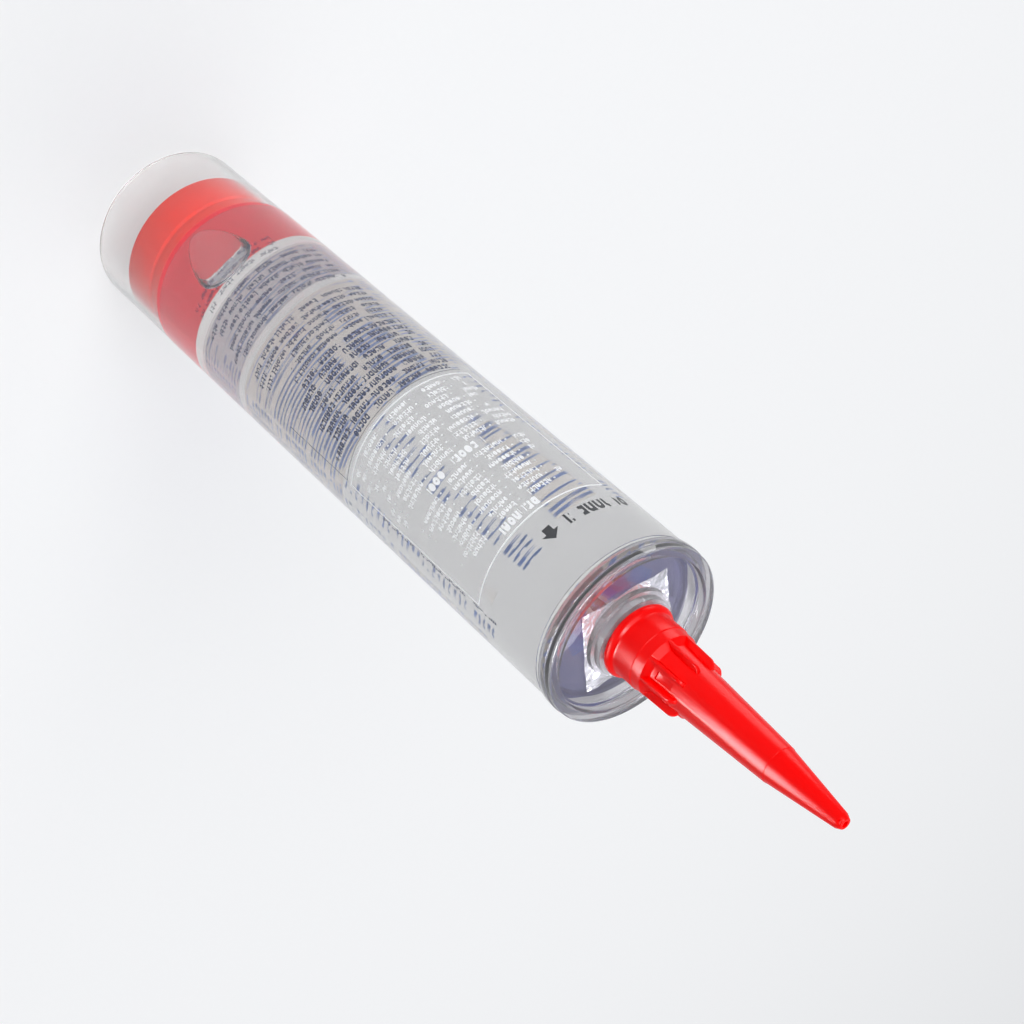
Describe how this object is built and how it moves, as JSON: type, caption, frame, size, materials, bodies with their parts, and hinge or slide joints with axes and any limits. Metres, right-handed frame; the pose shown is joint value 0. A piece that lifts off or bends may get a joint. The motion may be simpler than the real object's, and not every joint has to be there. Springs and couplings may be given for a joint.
{
  "type": "caulk tube",
  "caption": "Clear sealant cartridge with a ribbed screw-on nozzle, sliding plunger, flanged front cap, foil seal and film label.",
  "frame": {"origin": "centre of the barrel's open rear rim, on the surface that the cartridge stands on", "axes": "+Z along the cartridge's axis, from the rear rim to the nozzle's tip; the label's framed panel faces -Y"},
  "size_m": [0.0512, 0.0512, 0.295],
  "materials": {
    "barrel_plastic": "clear, smooth",
    "cap_plastic": "clear, polished",
    "nozzle_plastic": "satin red moulding",
    "plunger_plastic": "satin red moulding",
    "sealant": "clear paste",
    "foil": "crumpled foil",
    "label_film": "printed clear film"
  },
  "bodies": {
    "cartridge": {"barrel": "barrel_plastic", "front_cap": "cap_plastic", "foil_seal": "foil", "sealant": "sealant", "label": "label_film"},
    "nozzle": {"nozzle": "nozzle_plastic"},
    "plunger": {"plunger": "plunger_plastic"}
  },
  "joints": [
    {"name": "plunger_slide", "type": "slide", "parent": "cartridge", "child": "plunger", "axis": [0, 0, 1], "range_m": [0, 0.176], "deforming": ["sealant"]},
    {"name": "nozzle_lift", "type": "slide", "parent": "cartridge", "child": "nozzle", "axis": [0, 0, 1], "range_m": [0, 0.016]}
  ]
}
